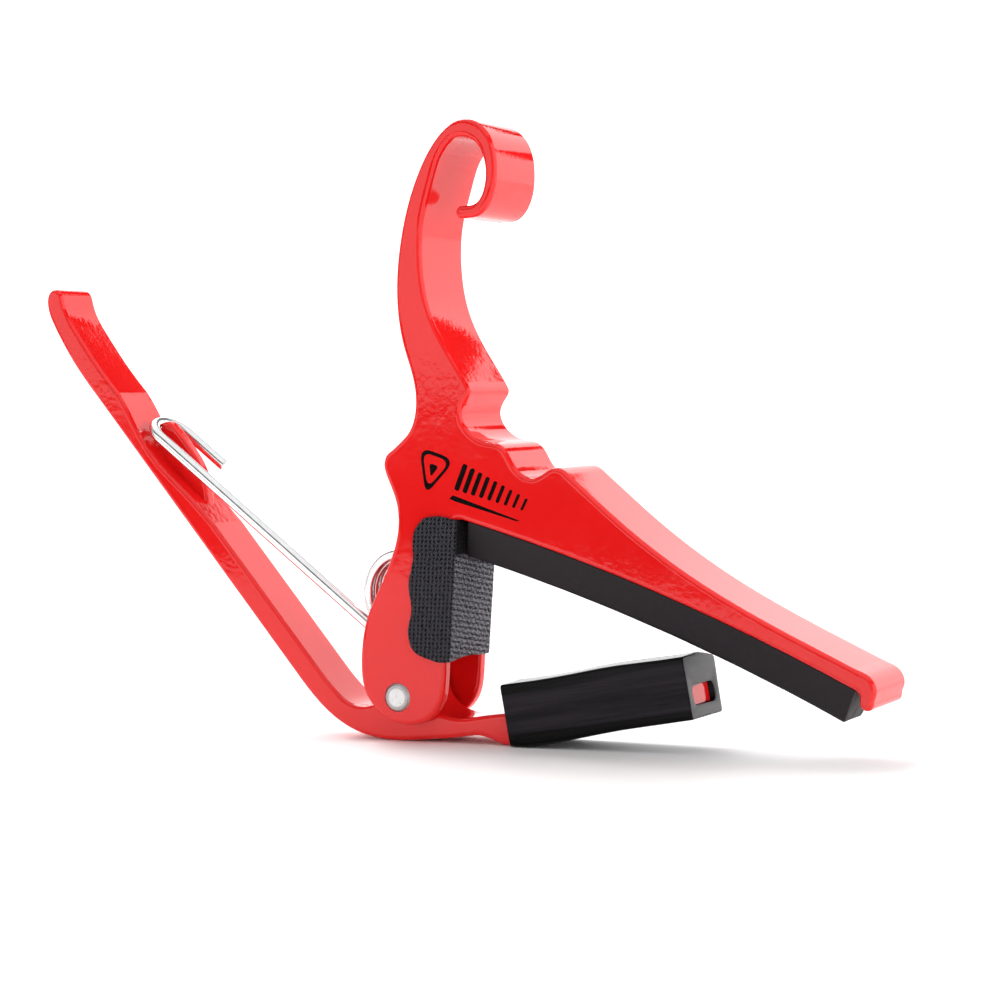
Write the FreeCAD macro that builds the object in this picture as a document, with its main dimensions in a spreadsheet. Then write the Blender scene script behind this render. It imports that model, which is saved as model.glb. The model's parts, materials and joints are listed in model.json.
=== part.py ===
import FreeCAD, Part
import Sketcher
import math
import os

# Spring-closed guitar capo, standing on its own heel.
# X runs along the string bar, Y across the width, Z is up.
# Every profile is drawn around the pivot axis, which is the local origin.

V = FreeCAD.Vector
doc = FreeCAD.newDocument("Capo")

# ---------------------------------------------------------------- dimensions
DRIVING = [
    ("bodywidth", 12.7),       # extruded width of the upper arm
    ("edgeround", 0.7),        # softened outline edges of the upper arm
    ("slotwidth", 8.7),        # clevis slot between the two ears
    ("slotroof", 21.6),        # height of the slot roof above the pivot
    ("leverwidth", 8.2),       # lower arm, runs inside the slot
    ("leverround", 0.6),
    ("tonguewidth", 7.2),      # end of the lower arm that carries the boot
    ("finwidth", 2.0),         # rib that the spring straddles
    ("pindiameter", 3.96),
    ("pingap", 0.05),          # radial running gap in the lower arm
    ("pinproud", 0.25),        # pin end beyond each ear
    ("pinchamfer", 0.35),
    ("wirediameter", 1.65),
    ("coilradius", 5.75),      # to the wire centre
    ("coilpitch", 1.75),
    ("barradius", 305.0),      # curvature that follows a 12 inch fingerboard
    ("paddepth", 5.1),
    ("padtop", 11.2),          # width against the bar
    ("padbottom", 6.8),        # width against the strings
    ("padround", 0.3),
    ("bootlength", 27.0),
    ("bootwidth", 10.4),
    ("boottilt", 9.8),         # degrees above level
    ("bootrecess", 0.8),       # tongue end behind the boot end
    ("tonguelow", 1.75),       # tongue underside above the boot underside
    ("tonguehigh", 4.4),
    ("clothdepth", 0.65),      # neck pad thickness
    ("groundclear", 6.3),      # pivot axis above the ground
    ("pivotoffset", -4.44),    # pivot axis from the middle of the length
]
sheet = doc.addObject("Spreadsheet::Sheet", "Dims")
for row, (alias, value) in enumerate(DRIVING, 1):
    sheet.set("A%d" % row, alias)
    sheet.set("B%d" % row, str(value))
    sheet.setAlias("B%d" % row, alias)
doc.recompute()


def dim(alias):
    return float(sheet.get(alias))


SEAT = V(dim("pivotoffset"), 0, dim("groundclear"))


# ------------------------------------------------------------------- helpers
def flat(point):
    return V(point[0], point[1], 0)


def heading(first, second):
    step = flat(second) - flat(first)
    return step.normalize()


def end_heading(kind, points, at_start):
    """Direction of travel at one end of a line or an arc."""
    if kind == "line":
        return heading(points[0], points[1])
    curve = Part.Arc(flat(points[0]), flat(points[1]), flat(points[2]))
    value = curve.FirstParameter if at_start else curve.LastParameter
    travel = curve.tangent(value)[0]
    chord = flat(points[1]) - flat(points[0]) if at_start else flat(points[2]) - flat(points[1])
    return travel if travel.dot(chord) > 0 else travel * -1


def junction(before, after):
    """Common direction where two stretches of an outline meet."""
    if before[0] != "curve":
        return end_heading(before[0], before[1], False)
    if after[0] != "curve":
        return end_heading(after[0], after[1], True)
    return heading(before[1][-2], after[1][1])


def smooth_curve(path, leave, arrive):
    """Cubic curve through a run of points with a given direction at each end."""
    spans = [(b - a).Length for a, b in zip(path, path[1:])]
    speed = [leave] + [V(0, 0, 0)] * (len(path) - 2) + [arrive]
    for _ in range(60):
        for k in range(1, len(path) - 1):
            near, far = spans[k - 1], spans[k]
            pull = (path[k] - path[k - 1]) * (3.0 * far / near)
            pull += (path[k + 1] - path[k]) * (3.0 * near / far)
            pull -= speed[k - 1] * far + speed[k + 1] * near
            speed[k] = pull * (0.5 / (near + far))
    poles = [path[0]]
    knots = [0.0]
    for k, span in enumerate(spans):
        poles.append(path[k] + speed[k] * (span / 3.0))
        poles.append(path[k + 1] - speed[k + 1] * (span / 3.0))
        knots.append(knots[-1] + span)
    poles.append(path[-1])
    mults = [4] + [2] * (len(path) - 2) + [4]
    curve = Part.BSplineCurve()
    curve.buildFromPolesMultsKnots(poles, mults, knots, False, 3)
    for k in range(len(path) - 1, 1, -1):
        curve.removeKnot(k, 1, 0.001)
    return curve


def outline(sketch, stretches, sharp=()):
    """Close a profile. Curves meet their neighbours smoothly except at sharp points."""
    total = len(stretches)
    for index, (kind, points) in enumerate(stretches):
        before = stretches[index - 1]
        after = stretches[(index + 1) % total]
        if kind == "line":
            sketch.addGeometry(Part.LineSegment(flat(points[0]), flat(points[1])), False)
        elif kind == "arc":
            sketch.addGeometry(Part.Arc(*[flat(p) for p in points]), False)
        else:
            leave = heading(points[0], points[1])
            arrive = heading(points[-2], points[-1])
            if points[0] not in sharp:
                leave = junction(before, (kind, points))
            if points[-1] not in sharp:
                arrive = junction((kind, points), after)
            path = [flat(p) for p in points]
            sketch.addGeometry(smooth_curve(path, leave, arrive), False)


def new_body(name):
    body = doc.addObject("PartDesign::Body", name)
    body.Label = name
    return body


def datum(body, role):
    """One of a body's own origin planes or axes."""
    return [item for item in body.Origin.OriginFeatures if item.Role == role][0]


def new_sketch(body, name, plane="XZ_Plane"):
    sketch = body.newObject("Sketcher::SketchObject", name)
    sketch.AttachmentSupport = [(datum(body, plane), "")]
    sketch.MapMode = "FlatFace"
    return sketch


def prism(body, sketch, name, width, cut=False):
    """Pad or pocket a sketch equally to both sides of its plane."""
    feature = body.newObject("PartDesign::Pocket" if cut else "PartDesign::Pad", name)
    feature.Profile = sketch
    feature.SideType = "Symmetric"
    feature.setExpression("Length", width)
    doc.recompute()
    return feature


def round_edges(body, feature, name, radius, test):
    """Fillet every edge whose whole run passes the test."""
    chosen = []
    for number, edge in enumerate(feature.Shape.Edges, 1):
        first, last = edge.ParameterRange
        run = [edge.valueAt(first + (last - first) * k / 8.0) for k in range(9)]
        if all(test(point) for point in run):
            chosen.append("Edge%d" % number)
    fillet = body.newObject("PartDesign::Fillet", name)
    fillet.Base = (feature, chosen)
    fillet.setExpression("Radius", radius)
    doc.recompute()
    return fillet


def circle_sketch(body, name, centre, radius, plane="XZ_Plane"):
    sketch = new_sketch(body, name, plane)
    sketch.addGeometry(Part.Circle(flat(centre), V(0, 0, 1), 1.0), False)
    sketch.addConstraint(Sketcher.Constraint("Radius", 0, 1.0))
    sketch.setExpression("Constraints[0]", radius)
    doc.recompute()
    return sketch


# --------------------------------------------------------- string bar geometry
BAR_R = dim("barradius")
BAR_CENTRE = (-71.8, -269.4)


def bar_point(x, radius=BAR_R):
    """Point on an arc about the string bar's centre of curvature."""
    return (x, BAR_CENTRE[1] + math.sqrt(radius ** 2 - (x - BAR_CENTRE[0]) ** 2))


# ------------------------------------------------------------------ upper arm
body = new_body("body")
UNDER_LEFT = bar_point(10.4)
UNDER_RIGHT = bar_point(65.2)
side = new_sketch(body, "BodyOutline")
outline(side, [
    # underside of the string bar, then the nose that hooks over the pad's end
    ("arc", [UNDER_LEFT, bar_point(38.0), UNDER_RIGHT]),
    ("curve", [UNDER_RIGHT, (65.8, 2.2)]),
    ("line", [(65.8, 2.2), (65.8, 1.4)]),
    ("arc", [(65.8, 1.4), (66.7, 0.5), (67.6, 1.4)]),
    ("curve", [(67.6, 1.4), (67.95, 2.7), (67.75, 4.0), (66.85, 5.0), (65.2, 5.75)]),
    # back of the string bar up to the third hump
    ("curve", [(65.2, 5.75), (55.3, 10.5), (44.5, 16.35), (33.4, 24.2), (26.8, 29.85)]),
    # three humps with two finger recesses between them
    ("curve", [(26.8, 29.85), (25.6, 30.85), (24.3, 31.25), (22.9, 30.65), (21.2, 29.9),
               (19.5, 30.4), (18.25, 31.7), (17.3, 33.35), (16.2, 34.35), (14.2, 34.8),
               (12.2, 35.75), (10.95, 37.2), (10.6, 38.85), (11.3, 40.3), (11.95, 41.6),
               (11.4, 42.85)]),
    # front of the neck up into the curl
    ("curve", [(11.4, 42.85), (8.2, 48.0), (5.9, 53.1), (5.0, 59.0), (5.3, 64.3),
               (7.0, 70.2), (8.5, 73.7)]),
    ("curve", [(8.5, 73.7), (10.9, 75.6), (13.3, 74.9), (14.8, 72.2), (14.7, 68.7),
               (13.4, 66.65), (11.4, 66.4)]),
    ("arc", [(11.4, 66.4), (10.45, 65.5), (11.4, 64.7)]),
    # outside of the curl and back of the neck
    ("curve", [(11.4, 64.7), (13.7, 64.9), (15.6, 66.7), (16.6, 70.8), (15.9, 75.0),
               (13.6, 77.5), (11.2, 77.95), (8.0, 76.0), (4.3, 70.2)]),
    ("curve", [(4.3, 70.2), (1.85, 62.4), (1.05, 54.8), (1.9, 48.0), (3.35, 43.0),
               (3.55, 39.5), (2.4, 36.2), (0.2, 34.15)]),
    # pointed shoulder and waist
    ("curve", [(0.2, 34.15), (-0.95, 33.3), (-1.5, 32.1), (-1.0, 29.9), (0.25, 26.6),
               (0.2, 21.9), (-1.6, 17.1)]),
    # ears rounding off under the pivot
    ("curve", [(-1.6, 17.1), (-4.5, 11.4), (-5.8, 5.0), (-5.1, 0.2), (-2.9, -2.3),
               (1.3, -3.75), (4.5, -3.0), (6.6, -0.5), (7.25, 2.9)]),
    ("line", [(7.25, 2.9), (8.75, 22.6)]),
    ("curve", [(8.75, 22.6), (9.25, 24.0), UNDER_LEFT]),
])
solid = prism(body, side, "BodyBlank", "Dims.bodywidth")

HALF_W = dim("bodywidth") / 2.0
HALF_S = dim("slotwidth") / 2.0
PIN_R = dim("pindiameter") / 2.0
solid = round_edges(body, solid, "OuterRound", "Dims.edgeround",
                    lambda p: abs(abs(p.y) - HALF_W) < 1e-4)

slot = new_sketch(body, "SlotOutline")
ROOF = dim("slotroof")
outline(slot, [
    ("line", [(-12.0, -8.0), (12.0, -8.0)]),
    ("line", [(12.0, -8.0), (12.0, ROOF - 1.2)]),
    ("arc", [(12.0, ROOF - 1.2), (0.0, ROOF), (-12.0, ROOF - 1.2)]),
    ("line", [(-12.0, ROOF - 1.2), (-12.0, -8.0)]),
])
solid = prism(body, slot, "Slot", "Dims.slotwidth", cut=True)
solid = round_edges(body, solid, "EarInnerRound", "Dims.edgeround * 0.6",
                    lambda p: abs(abs(p.y) - HALF_S) < 1e-4 and p.z < ROOF - 1.5)

pin_seat = circle_sketch(body, "PinSeat", (0, 0), "Dims.pindiameter / 2")
solid = prism(body, pin_seat, "PinHole", "Dims.bodywidth + 2", cut=True)

# the fixed end of the spring stands in a blind hole in the slot roof
COIL = (-0.9, 13.8)
COIL_R = dim("coilradius")
WIRE_R = dim("wirediameter") / 2.0
TURNS_END = 360.0 * 3 + 127.7
COIL_START = -3.2
LEG_X = COIL[0] + COIL_R
LEG_Y = COIL_START + dim("coilpitch") * TURNS_END / 360.0
LEG_TOP = 27.2
hole = body.newObject("PartDesign::SubtractiveCylinder", "SpringHole")
hole.setExpression("Radius", "Dims.wirediameter / 2 + 0.15")
hole.Height = LEG_TOP + 0.4 - (ROOF - 2.0)
hole.Placement = FreeCAD.Placement(V(LEG_X, LEG_Y, ROOF - 2.0), FreeCAD.Rotation())
doc.recompute()

# ------------------------------------------------------------------ lower arm
BOOT = (16.4, -6.2)
TILT = math.radians(dim("boottilt"))
RUN = (math.cos(TILT), math.sin(TILT))


def boot_point(along, above):
    """Point in the boot's own directions: along its axis and square to it."""
    return (BOOT[0] + along * RUN[0] - above * RUN[1],
            BOOT[1] + along * RUN[1] + above * RUN[0])


TIP = dim("bootlength") - dim("bootrecess")
LOW, HIGH = dim("tonguelow"), dim("tonguehigh")
SLOPE = -1.2
INNER = (-13.8, 3.0)
OUTER = (-18.4, 3.45)


def rail(start, x):
    """Point on one of the handle's two straight edges."""
    return (x, start[1] + SLOPE * (x - start[0]))


lever = new_body("lever")
side = new_sketch(lever, "LeverOutline")
HEEL_IN = boot_point(0.0, LOW)
HEEL_LOW = (BOOT[0] - 0.1, -6.25)
outline(side, [
    # outside of the handle, rounding into the heel it stands on
    ("curve", [(-57.9, 58.05), (-58.8, 57.4), (-59.1, 56.1), (-57.8, 52.3), (-54.3, 46.7),
               rail(OUTER, -49.0)]),
    ("line", [rail(OUTER, -49.0), OUTER]),
    ("curve", [OUTER, (-14.4, -1.1), (-9.0, -4.9), (-2.8, -6.25), (3.5, -5.95),
               (8.6, -5.4), (11.2, -5.15), (13.2, -5.65), (15.0, -6.2), HEEL_LOW]),
    # step that stops the boot, then the tongue inside it
    ("line", [HEEL_LOW, HEEL_IN]),
    ("line", [HEEL_IN, boot_point(TIP, LOW)]),
    ("line", [boot_point(TIP, LOW), boot_point(TIP, HIGH)]),
    ("line", [boot_point(TIP, HIGH), boot_point(0.0, HIGH)]),
    # top of the short arm, up over the hub and down into the handle
    ("curve", [boot_point(0.0, HIGH), (11.8, -2.4), (7.6, -2.85), (5.3, -2.25), (4.0, -1.25),
               (3.1, 0.1), (2.4, 2.1), (0.0, 3.15), (-2.4, 2.1), (-3.45, 0.0),
               (-5.4, -1.4), (-7.4, -1.7), (-9.2, -1.25), (-11.2, 0.25), INNER]),
    ("line", [INNER, rail(INNER, -45.0)]),
    ("curve", [rail(INNER, -45.0), (-49.8, 46.0), (-53.6, 51.1), (-56.3, 56.2),
               (-56.9, 57.7), (-57.9, 58.05)]),
], sharp=(HEEL_LOW, boot_point(0.0, HIGH)))
solid = prism(lever, side, "LeverBlank", "Dims.leverwidth")

# shallow scoop across the handle that takes the end of the spring
SCOOP_TOP = -47.2
SCOOP_END = -31.0


def below_rail(x, depth):
    """Point at a depth under the handle's inner edge."""
    edge = rail(INNER, x)
    length = math.hypot(1.0, SLOPE)
    return (edge[0] + depth * SLOPE / length, edge[1] - depth / length)


scoop = new_sketch(lever, "ScoopOutline")
outline(scoop, [
    ("curve", [rail(INNER, SCOOP_TOP), below_rail(-45.4, 0.28), below_rail(-43.4, 0.88),
               below_rail(-41.2, 1.36), below_rail(-39.0, 1.42), below_rail(-36.6, 0.98),
               below_rail(-34.0, 0.42), rail(INNER, SCOOP_END)]),
    ("line", [rail(INNER, SCOOP_END), (-27.0, 30.0)]),
    ("line", [(-27.0, 30.0), (-40.0, 46.0)]),
    ("line", [(-40.0, 46.0), rail(INNER, SCOOP_TOP)]),
], sharp=(rail(INNER, SCOOP_TOP), rail(INNER, SCOOP_END)))
solid = prism(lever, scoop, "Scoop", "Dims.leverwidth + 2", cut=True)

HALF_L = dim("leverwidth") / 2.0


def on_lever_side(p):
    in_boot = (p.x - BOOT[0]) * RUN[0] + (p.z - BOOT[1]) * RUN[1] > -0.7
    return abs(abs(p.y) - HALF_L) < 1e-4 and not in_boot


solid = round_edges(lever, solid, "LeverRound", "Dims.leverround", on_lever_side)

# tongue sides are machined narrower so that the boot slides over them
for direction, label in ((1, "Far"), (-1, "Near")):
    trim = lever.newObject("PartDesign::SubtractiveBox", "TongueTrim" + label)
    trim.Length = TIP + 4.0
    trim.Width = 4.0
    trim.Height = 12.0
    spin = FreeCAD.Rotation(V(0, 1, 0), -dim("boottilt"))
    corner = boot_point(0.0, -3.0)
    reach = dim("tonguewidth") / 2.0
    trim.Placement = FreeCAD.Placement(V(corner[0], reach if direction > 0 else -reach - 4.0,
                                         corner[1]), spin)
    doc.recompute()

# rib that the spring's bend straddles
fin = new_sketch(lever, "FinOutline")
outline(fin, [
    ("line", [(-34.6, 23.2), (-42.2, 34.0)]),
    ("line", [(-42.2, 34.0), (-41.6, 37.2)]),
    ("curve", [(-41.6, 37.2), (-41.2, 38.1), (-40.3, 38.3), (-38.9, 37.15)]),
    ("curve", [(-38.9, 37.15), (-36.0, 33.6), (-34.6, 31.2), (-33.9, 28.6), (-33.5, 25.4)]),
    ("line", [(-33.5, 25.4), (-34.6, 23.2)]),
], sharp=((-33.5, 25.4),))
before_fin = prism(lever, fin, "Fin", "Dims.finwidth")


def on_fin_rim(p):
    """On a side face of the rib and clear of the hollow it grows from."""
    above = (p.x + 42.0) * 0.72 + (p.z - 34.8) * 0.69
    return abs(abs(p.y) - dim("finwidth") / 2.0) < 1e-4 and above > -0.05


solid = round_edges(lever, before_fin, "FinRound", "Dims.finwidth * 0.25", on_fin_rim)

bore = circle_sketch(lever, "PinBore", (0, 0), "Dims.pindiameter / 2 + Dims.pingap")
solid = prism(lever, bore, "Bore", "Dims.leverwidth + 2", cut=True)

# ---------------------------------------------------------------- pivot rivet
rivet = new_body("pivot_rivet")
end = circle_sketch(rivet, "RivetSection", (0, 0), "Dims.pindiameter / 2")
shank = prism(rivet, end, "Shank", "Dims.bodywidth + 2 * Dims.pinproud")
bevel = rivet.newObject("PartDesign::Chamfer", "RivetBevel")
bevel.Base = (shank, ["Edge%d" % n for n, e in enumerate(shank.Shape.Edges, 1)
                      if isinstance(e.Curve, Part.Circle)])
bevel.setExpression("Size", "Dims.pinchamfer")
doc.recompute()

# ----------------------------------------------------------------- string pad
pad = new_body("string_pad")
section = new_sketch(pad, "PadSection", "YZ_Plane")
R_TOP = BAR_R
R_LOW = BAR_R - dim("paddepth")
half_t, half_b = dim("padtop") / 2.0, dim("padbottom") / 2.0
ring = [(-half_b, R_LOW), (half_b, R_LOW), (half_t, R_TOP), (-half_t, R_TOP)]
outline(section, [("line", [ring[k], ring[(k + 1) % 4]]) for k in range(4)])
PAD_FROM, PAD_TO = 11.2, 65.1
lean_a = math.asin((PAD_FROM - BAR_CENTRE[0]) / BAR_R)
lean_b = math.asin((PAD_TO - BAR_CENTRE[0]) / BAR_R)
sweep = pad.newObject("PartDesign::Revolution", "PadRing")
sweep.Profile = section
sweep.ReferenceAxis = (datum(pad, "Y_Axis"), [""])
sweep.Angle = math.degrees(lean_b - lean_a)
doc.recompute()
round_edges(pad, sweep, "PadRound", "Dims.padround",
            lambda p: math.hypot(p.x, p.z) < R_LOW + 0.01)
# the ring starts upright and is turned to where it begins under the bar
pad.Placement = FreeCAD.Placement(V(BAR_CENTRE[0], 0, BAR_CENTRE[1]),
                                  FreeCAD.Rotation(V(0, 1, 0), math.degrees(lean_a)))

# ----------------------------------------------------------------------- boot
boot = new_body("boot")
half = dim("bootwidth") / 2.0
section = new_sketch(boot, "BootSection", "YZ_Plane")
outline(section, [
    ("line", [(-half + 0.5, 0.0), (half - 0.6, -0.1)]),
    ("arc", [(half - 0.6, -0.1), (half - 0.15, 0.08), (half, 0.5)]),
    ("line", [(half, 0.5), (half - 0.1, 6.7)]),
    ("arc", [(half - 0.1, 6.7), (half - 0.35, 7.3), (half - 0.95, 7.6)]),
    ("arc", [(half - 0.95, 7.6), (0.3, 8.15), (-half + 0.95, 7.85)]),
    ("arc", [(-half + 0.95, 7.85), (-half + 0.35, 7.55), (-half + 0.1, 7.0)]),
    ("line", [(-half + 0.1, 7.0), (-half, 0.5)]),
    ("arc", [(-half, 0.5), (-half + 0.15, 0.15), (-half + 0.5, 0.0)]),
])
sleeve = boot.newObject("PartDesign::Pad", "Sleeve")
sleeve.Profile = section
sleeve.setExpression("Length", "Dims.bootlength")
doc.recompute()
socket = new_sketch(boot, "SocketSection", "YZ_Plane")
reach = dim("tonguewidth") / 2.0 + 0.02
low, high, corner = LOW - 0.02, HIGH + 0.02, 0.55
k = corner * (1.0 - math.sqrt(0.5))
outline(socket, [
    ("line", [(-reach + corner, low), (reach - corner, low)]),
    ("arc", [(reach - corner, low), (reach - k, low + k), (reach, low + corner)]),
    ("line", [(reach, low + corner), (reach, high - corner)]),
    ("arc", [(reach, high - corner), (reach - k, high - k), (reach - corner, high)]),
    ("line", [(reach - corner, high), (-reach + corner, high)]),
    ("arc", [(-reach + corner, high), (-reach + k, high - k), (-reach, high - corner)]),
    ("line", [(-reach, high - corner), (-reach, low + corner)]),
    ("arc", [(-reach, low + corner), (-reach + k, low + k), (-reach + corner, low)]),
])
hollow = boot.newObject("PartDesign::Pocket", "Socket")
hollow.Profile = socket
hollow.Type = "ThroughAll"
hollow.SideType = "Symmetric"
doc.recompute()
boot.Placement = FreeCAD.Placement(V(BOOT[0], 0, BOOT[1]),
                                   FreeCAD.Rotation(V(0, 1, 0), -dim("boottilt")))

# ------------------------------------------------------------------- neck pad
cloth = new_body("neck_pad")
FRONT = ((7.25, 2.9), (8.75, 22.6))
lean = (FRONT[1][0] - FRONT[0][0]) / (FRONT[1][1] - FRONT[0][1])
thick = dim("clothdepth")


def front_x(z, out=0.0):
    """Front face of the ears, moved outward by 'out'."""
    return FRONT[0][0] + lean * (z - FRONT[0][1]) + out


flap = new_sketch(cloth, "FlapOutline")
outline(flap, [
    # wavy cut edge along the ear, then square across the front
    ("line", [(front_x(5.0, thick), 5.0), (6.6, 5.15)]),
    ("curve", [(6.6, 5.15), (4.2, 5.65), (2.3, 7.4), (2.1, 9.5), (2.65, 12.3), (2.45, 15.2),
               (3.0, 17.6), (3.3, 20.6), (4.0, 23.6), (5.7, 24.8), (7.4, 24.4)]),
    ("line", [(7.4, 24.4), (front_x(22.3, thick), 22.3)]),
    ("line", [(front_x(22.3, thick), 22.3), (front_x(5.0, thick), 5.0)]),
], sharp=((7.4, 24.4),))
wrap = prism(cloth, flap, "ClothBlank", "Dims.bodywidth + 2 * Dims.clothdepth + 0.04")
core = new_sketch(cloth, "EarClearance")
outline(core, [
    ("line", [(-6.0, 0.0), (front_x(0.0, 0.02), 0.0)]),
    ("line", [(front_x(0.0, 0.02), 0.0), (front_x(30.0, 0.02), 30.0)]),
    ("line", [(front_x(30.0, 0.02), 30.0), (-6.0, 30.0)]),
    ("line", [(-6.0, 30.0), (-6.0, 0.0)]),
])
wrap = prism(cloth, core, "EarRoom", "Dims.bodywidth + 0.04", cut=True)


def on_front_line(p, out, half_width):
    return abs(p.x - front_x(p.z, out)) < 1e-3 and abs(abs(p.y) - half_width) < 1e-3


wrap = round_edges(cloth, wrap, "ClothInnerRound", "Dims.edgeround",
                   lambda p: on_front_line(p, 0.02, HALF_W + 0.02))
wrap = round_edges(cloth, wrap, "ClothOuterRound", "Dims.edgeround + Dims.clothdepth",
                   lambda p: on_front_line(p, thick, HALF_W + thick + 0.02))

# ------------------------------------------------------------- torsion spring
LEG_DIR = (-0.791, 0.612)
BEND_R = 3.2
APEX = (-42.6, 38.0)
BEND = (APEX[0] - BEND_R * LEG_DIR[0], APEX[1] - BEND_R * LEG_DIR[1])
START_ANGLE = 232.3


def lift(point, y):
    return V(point[0], y, point[1])


def along_leg(point, distance):
    return (point[0] + LEG_DIR[0] * distance, point[1] + LEG_DIR[1] * distance)


centre_line = []
tail = along_leg(BEND, -6.9)
centre_line.append(Part.LineSegment(lift(tail, BEND_R), lift(BEND, BEND_R)).toShape())
centre_line.append(Part.Arc(lift(BEND, BEND_R), lift(APEX, 0.0), lift(BEND, -BEND_R)).toShape())
# the long leg meets the coil on a slightly opened first turn
spiral = []
steps = 64
leg_offset = -((BEND[0] - COIL[0]) * LEG_DIR[1] - (BEND[1] - COIL[1]) * LEG_DIR[0])
opened = leg_offset - COIL_R
for step in range(steps + 1):
    turned = TURNS_END * step / steps
    fade = max(0.0, 1.0 - turned / 200.0)
    ease = fade * fade * (3.0 - 2.0 * fade)
    angle = math.radians(START_ANGLE + turned)
    radius = COIL_R + opened * ease
    spiral.append(V(COIL[0] + radius * math.cos(angle),
                    COIL_START + dim("coilpitch") * turned / 360.0,
                    COIL[1] + radius * math.sin(angle)))
long_leg = Part.LineSegment(lift(BEND, -BEND_R), spiral[0])
centre_line.append(long_leg.toShape())
leave = (spiral[0] - lift(BEND, -BEND_R)).normalize()
centre_line.append(smooth_curve(spiral, leave, V(0, 0, 1)).toShape())
top = V(spiral[-1].x, spiral[-1].y, LEG_TOP)
centre_line.append(Part.LineSegment(spiral[-1], top).toShape())
path = Part.Wire(centre_line)
first = centre_line[0].valueAt(centre_line[0].FirstParameter)
aim = lift(BEND, BEND_R) - lift(tail, BEND_R)
wire_end = Part.Wire(Part.Circle(lift(tail, BEND_R), aim.normalize(), WIRE_R).toShape())
spring = doc.addObject("Part::Feature", "torsion_spring")
spring.Label = "torsion_spring"
spring.Shape = path.makePipeShell([wire_end], True, False, 2)

# --------------------------------------------------------- place and write out
for item in (body, lever, rivet, pad, boot, cloth, spring):
    item.Placement = FreeCAD.Placement(SEAT, FreeCAD.Rotation()).multiply(item.Placement)
doc.recompute()

broken = [item.Name for item in doc.Objects
          if "Invalid" in item.State or "Error" in item.State]
if broken:
    raise RuntimeError("features failed: " + ", ".join(broken))

os.makedirs("parts", exist_ok=True)
for item in (body, lever, rivet, pad, boot, cloth, spring):
    shape = item.Shape
    if shape.isNull() or not shape.isValid() or shape.Volume < 1.0:
        raise RuntimeError("bad shape: " + item.Label)
    shape.exportStep("parts/%s.step" % item.Label)
    box = shape.BoundBox
    print("%-16s %9.1f mm3  solids %d  X %.2f..%.2f  Y %.2f..%.2f  Z %.2f..%.2f" % (
        item.Label, shape.Volume, len(shape.Solids), box.XMin, box.XMax, box.YMin, box.YMax,
        box.ZMin, box.ZMax))
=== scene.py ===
import bpy
import bmesh
import json
import math
from mathutils import Euler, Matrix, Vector, noise


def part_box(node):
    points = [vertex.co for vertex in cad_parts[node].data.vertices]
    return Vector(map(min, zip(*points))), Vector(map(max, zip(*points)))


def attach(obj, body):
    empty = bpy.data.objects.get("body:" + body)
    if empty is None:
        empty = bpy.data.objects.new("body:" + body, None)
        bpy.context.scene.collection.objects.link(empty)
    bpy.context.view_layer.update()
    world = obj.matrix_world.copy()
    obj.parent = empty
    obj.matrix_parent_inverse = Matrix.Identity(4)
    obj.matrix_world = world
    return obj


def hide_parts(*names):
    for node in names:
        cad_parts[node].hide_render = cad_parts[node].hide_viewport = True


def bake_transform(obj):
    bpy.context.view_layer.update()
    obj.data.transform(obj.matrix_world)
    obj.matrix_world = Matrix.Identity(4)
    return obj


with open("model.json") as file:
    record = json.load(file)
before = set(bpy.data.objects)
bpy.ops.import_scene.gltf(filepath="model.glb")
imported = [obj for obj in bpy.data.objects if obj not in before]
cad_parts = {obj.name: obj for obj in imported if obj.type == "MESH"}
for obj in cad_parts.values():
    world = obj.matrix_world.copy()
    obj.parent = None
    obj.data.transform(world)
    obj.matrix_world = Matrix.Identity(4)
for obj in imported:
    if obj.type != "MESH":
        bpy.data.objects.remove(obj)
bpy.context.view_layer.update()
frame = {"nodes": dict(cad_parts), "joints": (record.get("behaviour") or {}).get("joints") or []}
scene = bpy.context.scene

MM = 0.001
NEAR_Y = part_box("body")[0].y
PIVOT = Vector(frame["joints"][0]["pos_m"])

CAMERA_AT = (0.15891, -0.29774, 0.04580)
CAMERA_TURN = (87.807, 1.206, 26.726)       # degrees
LENS, SENSOR = 88.2, 36.0                   # millimetres


def at(x, y, z):
    """Point given in millimetres from the pivot axis."""
    return PIVOT + Vector((x, y, z)) * MM


# ----------------------------------------------------------------- camera
def make_camera():
    camera = bpy.data.objects.new("camera", bpy.data.cameras.new("camera"))
    scene.collection.objects.link(camera)
    camera.location = CAMERA_AT
    camera.rotation_euler = Euler([math.radians(a) for a in CAMERA_TURN])
    camera.data.lens = LENS
    camera.data.sensor_width = SENSOR
    camera.data.clip_start = 0.01
    camera.data.clip_end = 20.0
    scene.camera = camera


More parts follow.
